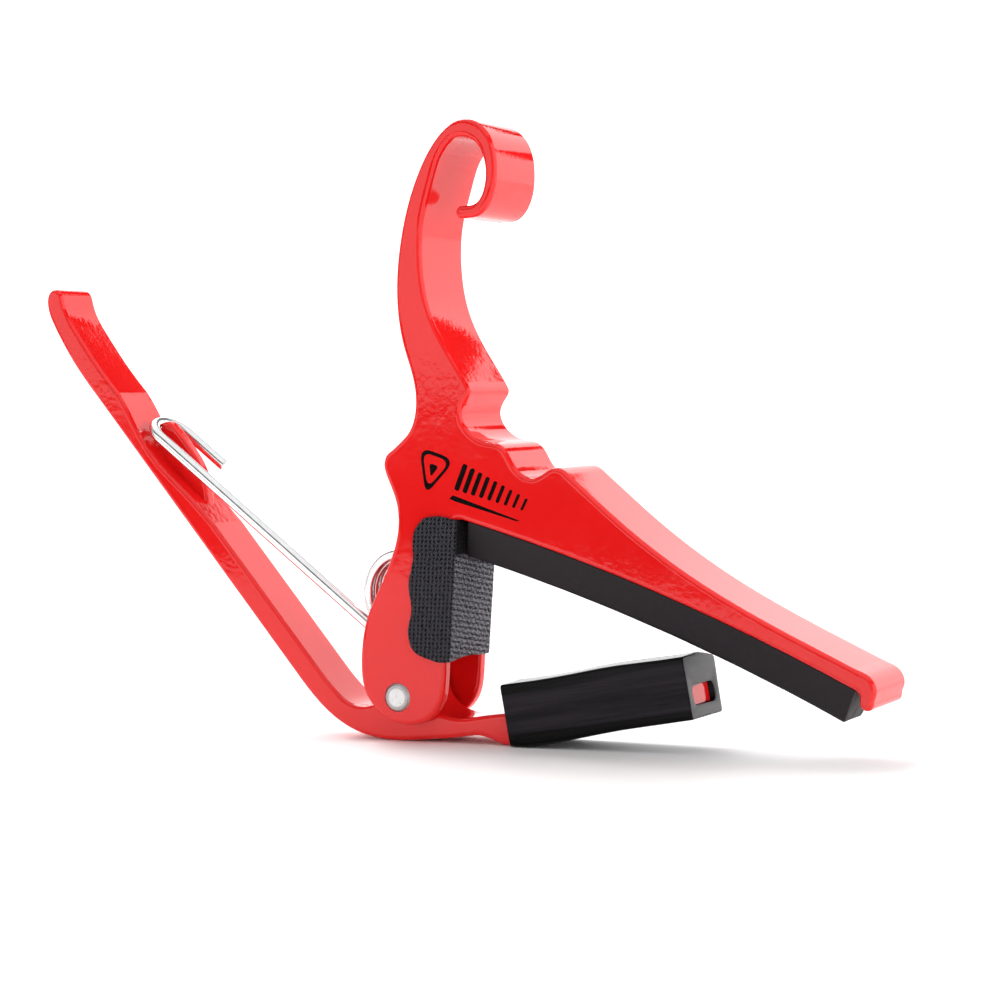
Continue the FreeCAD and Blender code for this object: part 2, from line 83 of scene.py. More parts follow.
# ---------------------------------------------------------- material tools
class Nodes:
    """A short way to wire a procedural material."""

    def __init__(self, name, tree=None):
        if tree is None:
            self.material = bpy.data.materials.new(name)
            self.material.use_nodes = True
            tree = self.material.node_tree
        self.tree = tree
        self.shader = tree.nodes.get("Principled BSDF")
        self.place = self.tree.nodes.new("ShaderNodeTexCoord")

    def add(self, kind, settings=None, **inputs):
        node = self.tree.nodes.new("ShaderNode" + kind)
        for key, value in (settings or {}).items():
            setattr(node, key, value)
        for key, value in inputs.items():
            self.put(node.inputs[key.replace("_", " ")], value)
        return node

    def put(self, socket, value):
        if isinstance(value, bpy.types.NodeSocket):
            self.tree.links.new(value, socket)
        else:
            socket.default_value = value

    def set(self, **inputs):
        for key, value in inputs.items():
            self.put(self.shader.inputs[key.replace("_", " ")], value)

    def where(self, scale=(1, 1, 1), turn=(0, 0, 0), source="Object"):
        """Object coordinates, stretched and turned."""
        mapping = self.add("Mapping", {"vector_type": "TEXTURE"}, Vector=self.place.outputs[source])
        mapping.inputs["Scale"].default_value = [1.0 / k for k in scale]
        mapping.inputs["Rotation"].default_value = turn
        return mapping.outputs["Vector"]

    def noise(self, where, scale, detail=2.0, rough=0.5):
        return self.add("TexNoise", {}, Vector=where, Scale=scale, Detail=detail,
                        Roughness=rough).outputs["Fac"]

    def span(self, value, low, high, to_low, to_high):
        node = self.add("MapRange", {}, Value=value)
        for key, number in (("From Min", low), ("From Max", high), ("To Min", to_low),
                            ("To Max", to_high)):
            node.inputs[key].default_value = number
        return node.outputs["Result"]

    def ramp(self, value, stops):
        node = self.add("ValToRGB", {}, Fac=value)
        band = node.color_ramp.elements
        while len(band) < len(stops):
            band.new(0.5)
        for element, (place, colour) in zip(band, stops):
            element.position = place
            element.color = (*colour, 1.0)
        return node.outputs["Color"]

    def mix(self, factor, first, second):
        """Colour between two others."""
        node = self.tree.nodes.new("ShaderNodeMix")
        node.data_type = "RGBA"
        colours = [socket for socket in node.inputs if socket.type == "RGBA"]
        self.put(node.inputs["Factor"], factor)
        self.put(colours[0], first)
        self.put(colours[1], second)
        return [socket for socket in node.outputs if socket.type == "RGBA"][0]

    def bump(self, height, distance, strength=1.0, over=None):
        node = self.add("Bump", {}, Height=height)
        node.inputs["Distance"].default_value = distance
        node.inputs["Strength"].default_value = strength
        if over is not None:
            self.put(node.inputs["Normal"], over)
        return node.outputs["Normal"]

    def math(self, operation, first, second=0.0):
        node = self.tree.nodes.new("ShaderNodeMath")
        node.operation = operation
        self.put(node.inputs[0], first)
        self.put(node.inputs[1], second)
        return node.outputs[0]


# --------------------------------------------------------------- materials
TWIST_FROM = 12.0             # where along the bar the twist begins, in millimetres
TWIST = -0.00058              # its growth per millimetre
BAR_FALL, BAR_RISE = -0.42, 36.5


def bar_draft(m, place):
    """Height in millimetres of a slight assumed twist of the bar's sides, for the band that they mirror."""
    parts = m.add("SeparateXYZ", {}, Vector=place)
    along = m.math("MULTIPLY", parts.outputs["X"], 1000.0)
    twist = m.math("MULTIPLY", m.math("MAXIMUM", m.math("SUBTRACT", along, TWIST_FROM), 0.0), TWIST)
    middle = m.math("ADD", m.math("MULTIPLY", along, BAR_FALL), BAR_RISE)
    height = m.math("MULTIPLY", parts.outputs["Z"], 1000.0)
    return m.math("MULTIPLY", twist, m.math("SUBTRACT", height, middle))


def red_coat():
    """Glossy powder coat: deep red with the fine ripple that such a coat dries with."""
    m = Nodes("red_coat")
    place = m.where()
    ripple = m.noise(place, 1500.0, 2.0, 0.45)
    swell = m.noise(place, 420.0, 2.0, 0.5)
    cloud = m.noise(place, 90.0, 2.0, 0.5)
    strength = m.span(m.noise(place, 75.0, 1.0), 0.35, 0.65, 0.60, 1.0)
    draft = m.bump(bar_draft(m, place), 0.001, 1.0, m.bump(swell, 0.000012))
    bump = m.add("Bump", {}, Height=ripple, Strength=strength, Normal=draft)
    bump.inputs["Distance"].default_value = 0.000012
    m.set(Base_Color=m.ramp(cloud, [(0.25, (0.79, 0.0095, 0.0095)), (0.75, (0.85, 0.0125, 0.0125))]),
          Roughness=m.span(swell, 0.3, 0.7, 0.045, 0.075), Normal=bump.outputs["Normal"])
    m.set(IOR=1.5)
    return m.material


def bright_wire():
    """Zinc-plated spring wire with faint drawing lines and dull blotches."""
    m = Nodes("bright_wire")
    blotch = m.noise(m.where(), 700.0, 3.0, 0.6)
    m.set(Base_Color=m.ramp(blotch, [(0.3, (0.80, 0.81, 0.815)), (0.7, (0.88, 0.89, 0.895))]),
          Roughness=m.span(blotch, 0.3, 0.75, 0.16, 0.26),
          Normal=m.bump(m.noise(m.where(), 2600.0, 2.0), 0.000004))
    m.set(Metallic=1.0)
    return m.material


def rivet_steel():
    """Turned pin end: a bright flat disc inside a duller ring, with rings left by the tool."""
    m = Nodes("rivet_steel")
    centre = m.add("Mapping", {}, Vector=m.place.outputs["Object"])
    centre.inputs["Location"].default_value = (-PIVOT.x, 0.0, -PIVOT.z)
    centre.inputs["Scale"].default_value = (1.0, 0.0, 1.0)
    reach = m.add("VectorMath", {"operation": "LENGTH"})
    m.put(reach.inputs[0], centre.outputs["Vector"])
    reach = m.math("MULTIPLY", reach.outputs["Value"], 1000.0)
    rings = m.math("SINE", m.math("MULTIPLY", reach, 42.0))
    haze = m.noise(m.where(), 1400.0, 3.0)
    rim = m.span(reach, 1.26, 1.34, 0.0, 1.0)
    tone = m.math("SUBTRACT", m.span(haze, 0.3, 0.7, 0.62, 0.74), m.math("MULTIPLY", rim, 0.24))
    step = m.math("MULTIPLY", m.math("SUBTRACT", m.span(reach, 1.22, 1.27, 0.0, 1.0), rim), -6.0)
    m.set(Base_Color=m.ramp(tone, [(0.0, (0.0, 0.0, 0.0)), (1.0, (1.0, 0.99, 0.985))]),
          Roughness=m.math("ADD", m.span(haze, 0.3, 0.7, 0.26, 0.38), m.math("MULTIPLY", rim, 0.12)),
          Normal=m.bump(m.math("ADD", rings, step), 0.000006))
    m.set(Metallic=1.0)
    return m.material


def pad_rubber():
    """Dense matte rubber with a fine moulded grain."""
    m = Nodes("pad_rubber")
    place = m.where()
    grain = m.noise(place, 5200.0, 3.0, 0.6)
    mottle = m.noise(place, 420.0, 3.0, 0.5)
    m.set(Base_Color=m.ramp(mottle, [(0.3, (0.0110, 0.0082, 0.0105)), (0.7, (0.0165, 0.0128, 0.0160))]),
          Roughness=m.span(mottle, 0.3, 0.7, 0.52, 0.66),
          Normal=m.bump(grain, 0.00002, 0.8, m.bump(mottle, 0.00006)))
    m.set(Specular_IOR_Level=0.28)
    return m.material


def boot_skin(turn):
    """Extruded soft plastic: long die lines, a few darker streaks, satin gloss."""
    m = Nodes("boot_skin")
    along = m.where((60.0, 1500.0, 1500.0), turn)
    lines = m.noise(along, 1.0, 5.0, 0.66)
    broad = m.noise(m.where((11.0, 420.0, 420.0), turn), 1.0, 2.0, 0.5)
    speck = m.noise(m.where(), 2300.0, 2.0)
    tone = m.math("ADD", m.math("MULTIPLY", broad, 0.65), m.math("MULTIPLY", lines, 0.35))
    m.set(Base_Color=m.ramp(tone, [(0.42, (0.0003, 0.0002, 0.0003)), (0.50, (0.0075, 0.0062, 0.0078)),
                                   (0.60, (0.0190, 0.0160, 0.0200))]),
          Roughness=m.span(lines, 0.3, 0.7, 0.10, 0.24),
          Normal=m.bump(lines, 0.00005, 0.8, m.bump(broad, 0.00022, 0.8, m.bump(speck, 0.000006))))
    m.set(Specular_IOR_Level=0.10)
    return m.material


def boot_cut():
    """Knife-cut end of the boot: paler and matte, with drag marks."""
    m = Nodes("boot_cut")
    drag = m.noise(m.where((260.0, 260.0, 2600.0), (0.0, 0.0, 0.5)), 1.0, 3.0, 0.55)
    m.set(Base_Color=m.ramp(drag, [(0.3, (0.055, 0.054, 0.056)), (0.7, (0.095, 0.094, 0.098))]),
          Roughness=m.span(drag, 0.3, 0.7, 0.42, 0.58),
          Normal=m.bump(drag, 0.00003, 0.7))
    return m.material


RIB = 0.62       # millimetres from one column of pin-holes to the next
COURSE = 0.60    # and from one row to the next
ROW = 0.72       # slanting rows on the front, whose colour is painted paler as painted light
DASH = 1.30      # and the dashes across them


def ribbed_cloth():
    """Charcoal knit laid out on the flat cloth: ribs, rows and pin-holes, with the front painted paler as
    painted light and its top painted near black as painted shade.
    """
    m = Nodes("ribbed_cloth")
    own = m.where((1, 1, 1), (0, 0, 0), "UV")
    flat = m.add("SeparateXYZ", {}, Vector=own)
    wander = m.noise(own, 1.3, 2.0)
    across = m.math("ADD", flat.outputs["X"], m.math("MULTIPLY", wander, 0.35))
    up = m.math("ADD", flat.outputs["Y"], m.math("MULTIPLY", wander, 0.40))
    rib = m.math("COSINE", m.math("MULTIPLY", across, 2 * math.pi / RIB))
    row = m.math("COSINE", m.math("MULTIPLY", up, 2 * math.pi / COURSE))
    strand = m.math("COSINE", m.math("MULTIPLY", m.math("ADD", across, m.math("MULTIPLY", up, 0.8)),
                                     4 * math.pi / RIB))
    fuzz = m.noise(own, 11.0, 3.0, 0.65)
    loose = m.noise(own, 2.6, 2.0)
    both = m.math("ADD", m.math("ADD", rib, row), m.math("MULTIPLY", m.math("SUBTRACT", loose, 0.5), 4.4))
    hole = m.span(both, 0.80, 1.65, 0.0, 1.0)
    height = m.math("SUBTRACT", m.math("MULTIPLY", strand, 0.10), m.math("MULTIPLY", hole, 1.0))
    height = m.math("ADD", height, m.math("MULTIPLY", fuzz, 0.75))
    shade = m.math("ADD", m.math("MULTIPLY", fuzz, 0.75), m.math("MULTIPLY", strand, 0.12))
    shade = m.math("SUBTRACT", shade, m.math("MULTIPLY", hole, 0.75))
    shade = m.math("SUBTRACT", shade, m.math("MULTIPLY", rib, 0.03))
    side = m.ramp(shade, [(0.06, (0.0004, 0.0003, 0.0005)), (0.34, (0.021, 0.020, 0.025)),
                          (0.52, (0.095, 0.093, 0.110))])
    grain = m.noise(m.where((0.5, 1, 1), (0, 0, 0), "UV"), 4.9, 3.0, 0.7)
    slant = m.math("ADD", up, m.math("MULTIPLY", across, 0.16))
    line = m.math("COSINE", m.math("MULTIPLY", slant, 2 * math.pi / ROW))
    dash = m.math("COSINE", m.math("MULTIPLY", m.math("ADD", across, up), 2 * math.pi / DASH))
    nap = m.math("ADD", m.math("MULTIPLY", line, 0.060), m.math("MULTIPLY", dash, 0.030))
    nap = m.math("ADD", nap, grain)
    # painted light: the front's ramp is several times paler than the sides' to stand for the stronger light
    # on the front; its slanting rows and dashes are the knit's own pattern
    lit_front = m.ramp(nap, [(0.40, (0.004, 0.004, 0.005)), (0.47, (0.075, 0.073, 0.082)),
                          (0.54, (0.205, 0.203, 0.226)), (0.66, (0.370, 0.368, 0.405))])
    # painted shade: the front above the pad's end is painted near black to stand for the deep shade in the
    # gap there
    shaded_top = m.ramp(shade, [(0.30, (0.0005, 0.0004, 0.0006)), (0.55, (0.006, 0.006, 0.007))])
    # mask of the front between the two folds, which takes the painted-light colour instead of the sides'
    # colour
    front = m.math("MULTIPLY", m.span(flat.outputs["X"], 0.5, 0.9, 0.0, 1.0),
                   m.span(flat.outputs["X"], 13.2, 13.8, 1.0, 0.0))
    # the top of the front, above about 20 mm, takes the painted shade
    edge = m.math("ADD", flat.outputs["Y"], m.math("MULTIPLY", fuzz, 1.2))
    m.set(Base_Color=m.mix(front, side, m.mix(m.span(edge, 19.6, 20.3, 0.0, 1.0), lit_front, shaded_top)),
          Roughness=m.span(fuzz, 0.3, 0.7, 0.80, 0.95),
          Normal=m.bump(height, 0.00012, 1.0))
    m.set(Sheen_Weight=0.04, Sheen_Roughness=0.35, Specular_IOR_Level=0.15)
    return m.material


def print_ink():
    """Screen-printed black, a shade duller than the coat under it."""
    m = Nodes("print_ink")
    grain = m.noise(m.where(), 4200.0, 2.0)
    m.set(Base_Color=m.ramp(grain, [(0.3, (0.0018, 0.0012, 0.0012)), (0.7, (0.0035, 0.0025, 0.0025))]),
          Roughness=m.span(grain, 0.3, 0.7, 0.10, 0.18),
          Normal=m.bump(grain, 0.000003))
    m.set(Specular_IOR_Level=0.15)
    return m.material


# ------------------------------------------------------------- mesh tools
def add_mesh(name, points, faces, materials, smooth=True):
    mesh = bpy.data.meshes.new(name)
    mesh.from_pydata([tuple(p) for p in points], [], faces)
    piece = bpy.data.objects.new(name, mesh)
    scene.collection.objects.link(piece)
    for material in materials:
        mesh.materials.append(material)
    tidy = bmesh.new()
    tidy.from_mesh(mesh)
    bmesh.ops.recalc_face_normals(tidy, faces=tidy.faces)
    tidy.to_mesh(mesh)
    tidy.free()
    mesh.polygons.foreach_set("use_smooth", [smooth] * len(mesh.polygons))
    return piece


def bridge(first, second, sides, shift=0):
    """Quads between two rings of the same size, by their first point numbers."""
    return [(first + k, first + (k + 1) % sides, second + (k + 1 + shift) % sides,
             second + (k + shift) % sides) for k in range(sides)]


def dress(name, *materials):
    """Give a CAD node its materials."""
    node = frame["nodes"][name]
    node.data.materials.clear()
    for material in materials:
        node.data.materials.append(material)


# ------------------------------------------------------------------ spring
WIRE_R = 0.825
COIL_AT = (-0.9, 13.8)
COIL_R = 5.75
COIL_PITCH = 1.75
COIL_FROM = 232.3
COIL_TURN = 3 * 360.0 + 127.7
BEND_R = 3.2
LEG = Vector((-0.791, 0.0, 0.612))
APEX = Vector((-42.42, 0.0, 37.86))
RETURN_LONG = 7.9
RETURN_LIFT = 0.6


def spring_path():
    """Centre line in millimetres from the pivot: short leg, U bend, long leg, coil, fixed leg."""
    bend = APEX - LEG * BEND_R
    side = Vector((0, 1, 0))
    square = Vector((LEG.z, 0, -LEG.x))
    path = [bend - LEG * (RETURN_LONG * (1 - k / 10)) + side * BEND_R + square * RETURN_LIFT
            for k in range(10)]
    for k in range(29):
        turn = math.pi * k / 28
        raised = square * (RETURN_LIFT * (1 + math.cos(turn)) / 2)
        path.append(bend + LEG * (BEND_R * math.sin(turn)) + side * (BEND_R * math.cos(turn)) + raised)
    steps = 260
    offset = (bend - Vector((COIL_AT[0], 0, COIL_AT[1]))).dot(square)
    opened = abs(offset) - COIL_R
    coil = []
    for k in range(steps + 1):
        turned = COIL_TURN * k / steps
        fade = max(0.0, 1.0 - turned / 200.0)
        radius = COIL_R + opened * fade * fade * (3 - 2 * fade)
        angle = math.radians(COIL_FROM + turned)
        coil.append(Vector((COIL_AT[0] + radius * math.cos(angle),
                            -BEND_R + COIL_PITCH * turned / 360.0,
                            COIL_AT[1] + radius * math.sin(angle))))
    start = bend - side * BEND_R
    path += [start.lerp(coil[0], k / 60) for k in range(1, 60)]
    path += coil
    top = coil[-1].copy()
    top.z = 27.2
    path += [coil[-1].lerp(top, k / 8) for k in range(1, 9)]
    return path


def make_spring(material):
    path = [at(*p) for p in spring_path()]
    sides = 28
    points, faces = [], []
    travel = (path[1] - path[0]).normalized()
    up = travel.orthogonal().normalized()
    rings = []
    for k, place in enumerate(path):
        ahead = path[min(k + 1, len(path) - 1)] - path[max(k - 1, 0)]
        ahead.normalize()
        up = (up - ahead * up.dot(ahead)).normalized()
        rings.append((place, ahead, up.copy()))
    soft = 0.22 * MM
    ends = []
    for (place, ahead, lift), way in ((rings[0], -1), (rings[-1], 1)):
        ends.append([(place + ahead * (way * soft * (math.sin(a) - 1)), ahead, lift,
                      WIRE_R * MM - soft * (1 - math.cos(a)))
                     for a in [math.pi / 2 * j / 4 for j in range(5)]])
    body = [(p, a, u, WIRE_R * MM) for p, a, u in rings[1:-1]]
    for place, ahead, lift, radius in ends[0][::-1] + body + ends[1]:
        across = ahead.cross(lift)
        for j in range(sides):
            turn = 2 * math.pi * j / sides
            points.append(place + (lift * math.cos(turn) + across * math.sin(turn)) * radius)
    count = len(points) // sides
    for k in range(count - 1):
        faces += bridge(k * sides, (k + 1) * sides, sides)
    faces.append(tuple(range(sides)))
    faces.append(tuple(reversed(range((count - 1) * sides, count * sides))))
    piece = add_mesh("spring_wire", points, faces, [material])
    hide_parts("torsion_spring")
    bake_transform(piece)
    return piece


# -------------------------------------------------------------------- boot
BOOT_AT = (16.4, -6.2)
BOOT_TILT = math.radians(9.8)
BOOT_LONG = 27.0
HOLE_HALF = 3.55
HOLE_LOW, HOLE_HIGH = 1.75, 4.4


def rounded_ring(corners, total):
    """Even points round a closed outline of (y, z, corner radius)."""
    dense = []
    count = len(corners)
    for k in range(count):
        y, z, radius = corners[k]
        here = Vector((y, z))
        back = (Vector(corners[k - 1][:2]) - here).normalized()
        ahead = (Vector(corners[(k + 1) % count][:2]) - here).normalized()
        half = math.acos(max(-1.0, min(1.0, back.dot(ahead)))) / 2
        reach = radius / math.tan(half)
        first, last = here + back * reach, here + ahead * reach
        for j in range(13):
            t = j / 12
            dense.append(first * (1 - t) ** 2 + here * (2 * t * (1 - t)) + last * t * t)
    lengths = [0.0]
    for a, b in zip(dense, dense[1:] + dense[:1]):
        lengths.append(lengths[-1] + (b - a).length)
    ring = []
    k = 0
    for j in range(total):
        goal = lengths[-1] * j / total
        while lengths[k + 1] < goal:
            k += 1
        part = (goal - lengths[k]) / max(1e-9, lengths[k + 1] - lengths[k])
        ring.append(dense[k].lerp(dense[(k + 1) % len(dense)], part))
    return ring


def make_boot(skin, cut):
    """Sleeve with a crowned top, soft rims, a socket for the tongue and an uneven lie."""
    sides = 128
    outer = rounded_ring([(-5.2, 0.0, 0.45), (5.3, -0.1, 0.5), (5.5, 4.0, 3.0), (5.75, 7.85, 0.7),
                          (0.6, 8.62, 4.4), (-5.1, 8.42, 0.45)], sides)
    hole = rounded_ring([(-HOLE_HALF, HOLE_LOW, 1.0), (HOLE_HALF + 0.35, HOLE_LOW, 1.1),
                         (HOLE_HALF + 0.35, HOLE_HIGH + 0.1, 1.1), (-HOLE_HALF, HOLE_HIGH, 1.0)], sides)
    middle = Vector((0.0, 4.0))
    run = Vector((math.cos(BOOT_TILT), 0, math.sin(BOOT_TILT)))
    rise = Vector((-math.sin(BOOT_TILT), 0, math.cos(BOOT_TILT)))
    start = Vector((BOOT_AT[0], 0, BOOT_AT[1]))

    def place(u, y, z):
        bow = -0.20 * math.sin(math.pi * u / BOOT_LONG) * math.cos(1.9 * math.pi * u / BOOT_LONG - 0.5) - 0.10
        drop = 0.12 * max(0.0, y / 5.2) * u / BOOT_LONG
        wave = 0.05 * noise.noise(Vector((u * 0.16, y * 0.35, z * 0.35)))
        splay = 0.35 * max(0.0, u / BOOT_LONG - 0.75) * y / 5.2
        stay = min(1.0, max(0.0, z / 2.5))
        fade = 1.0 - min(1.0, max(0.0, (u - 3.2) / 15.0))
        flat = 0.160 * min(u, 3.2) * fade * fade * (3 - 2 * fade) * max(0.0, 1.0 - z / 1.6)
        point = start + run * u + rise * (z + (bow - drop) * stay - flat)
        point += Vector((0, y * (1 + 0.01 * wave) + splay, 0))
        return at(*(point + rise * (wave * stay)))

    rim = 0.28
    stations = [(rim * (1 - math.cos(a)), rim * (1 - math.sin(a)))
                for a in [math.pi / 2 * j / 5 for j in range(6)]]
    along = [(u, inset) for u, inset in stations]
    along += [(rim + (BOOT_LONG - 2 * rim) * k / 60, 0.0) for k in range(1, 60)]
    along += [(BOOT_LONG - u, inset) for u, inset in reversed(stations)]
    points, faces = [], []
    for u, inset in along:
        for p in outer:
            toward = middle - p
            q = p + toward.normalized() * inset
            points.append(place(u, q.x, q.y))
    rings = len(along)
    for k in range(rings - 1):
        faces += bridge(k * sides, (k + 1) * sides, sides)
    skin_faces = len(faces)
    shift = closest_shift(outer, hole)
    hole_rings = []
    for u in (0.0, 0.12, BOOT_LONG - 0.12, BOOT_LONG):
        hole_rings.append(len(points))
        grow = 0.10 if u in (0.0, BOOT_LONG) else 0.0
        for p in hole:
            away = p - Vector((0.0, (HOLE_LOW + HOLE_HIGH) / 2))
            q = p + away.normalized() * grow
            points.append(place(u, q.x, q.y))
    faces += bridge(0, hole_rings[0], sides, shift)
    faces += bridge((rings - 1) * sides, hole_rings[3], sides, shift)
    for a, b in zip(hole_rings, hole_rings[1:]):
        faces += bridge(a, b, sides)
    piece = add_mesh("boot_sleeve", points, faces, [skin, cut])
    for face in piece.data.polygons[skin_faces:]:
        face.material_index = 1
    for face in piece.data.polygons[-2 * sides:-sides]:
        face.material_index = 0
    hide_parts("boot")
    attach(piece, "lever_arm")
    return piece


def closest_shift(first, second):
    """How far to turn the second ring so that it lines up with the first."""
    total = len(first)
    centre = sum(second, Vector((0, 0))) / total

    def score(shift):
        return sum((first[k] - centre).normalized().dot((second[(k + shift) % total] - centre).normalized())
                   for k in range(0, total, 8))
    return max(range(total), key=score)


# -------------------------------------------------------------- string pad
BAR_AT = (-71.8, -269.4)
BAR_R = 305.0
PAD_DEEP = 5.1
PAD_TOP, PAD_LOW = 5.6, 3.4
PAD_FROM, PAD_TO = 10.95, 65.1


def make_string_pad(material):
    """Pad bent along the bar, with rounded long edges and slightly domed cut ends."""
    sides = 96
    section = rounded_ring([(-PAD_LOW, -PAD_DEEP, 0.55), (PAD_LOW, -PAD_DEEP, 0.55),
                            (PAD_TOP, 0.0, 0.18), (-PAD_TOP, 0.0, 0.18)], sides)
    lean = [math.asin((x - BAR_AT[0]) / BAR_R) for x in (PAD_FROM, PAD_TO)]
    soft = 0.3
    ends = [(soft * (1 - math.sin(a)), soft * (1 - math.cos(a))) for a in
            [math.pi / 2 * j / 4 for j in range(5)]]
    length = (lean[1] - lean[0]) * BAR_R
    stations = [(d, inset) for d, inset in reversed(ends)]
    stations += [(soft + (length - 2 * soft) * k / 90, 0.0) for k in range(1, 90)]
    stations += [(length - d, inset) for d, inset in ends]
    middle = Vector((0.0, -PAD_DEEP / 2))
    points, faces = [], []
    for travel, inset in stations:
        angle = lean[0] + travel / BAR_R
        for p in section:
            q = p + (middle - p).normalized() * inset
            swell = 0.03 * noise.noise(Vector((travel * 0.2, q.x * 0.4, q.y * 0.4)))
            if q.y < -0.6:
                q = q + (q - middle).normalized() * swell
            radius = BAR_R + min(q.y, -0.02)
            points.append(at(BAR_AT[0] + radius * math.sin(angle), q.x, BAR_AT[1] + radius * math.cos(angle)))
    count = len(stations)
    for k in range(count - 1):
        faces += bridge(k * sides, (k + 1) * sides, sides)
    faces.append(tuple(range(sides)))
    faces.append(tuple(reversed(range((count - 1) * sides, count * sides))))
    piece = add_mesh("string_pad_rubber", points, faces, [material])
    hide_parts("string_pad")
    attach(piece, "clamp_body")
    return piece


# --------------------------------------------------------------- neck cloth
def spline(knots, t):
    """Smooth run through knots, with t from 0 to 1 by knot number."""
    count = len(knots) - 1
    span = min(count - 1, int(t * count))
    local = t * count - span
    a, b = knots[max(0, span - 1)], knots[span]
    c, d = knots[span + 1], knots[min(count, span + 2)]
    return tuple(0.5 * (2 * q + (r - p) * local + (2 * p - 5 * q + 4 * r - s) * local ** 2
                        + (3 * q - p - 3 * r + s) * local ** 3) for p, q, r, s in zip(a, b, c, d))


EAR_LEAN = (8.75 - 7.25) / (22.6 - 2.9)


def ear_front(z):
    return 7.25 + EAR_LEAN * (z - 2.9)


WAVE = [(4.75, 5.55), (3.2, 6.15), (2.35, 7.3), (2.05, 8.9), (2.25, 10.2), (2.6, 11.5), (2.65, 12.8),
        (2.35, 14.6), (2.35, 16.0), (2.75, 17.6), (3.1, 19.2), (3.05, 21.2), (3.45, 23.0), (4.8, 24.55)]
CLOTH_THICK = 0.42
FOLD_R = 0.50
CLOTH_LOW, CLOTH_HIGH = 5.05, 24.3


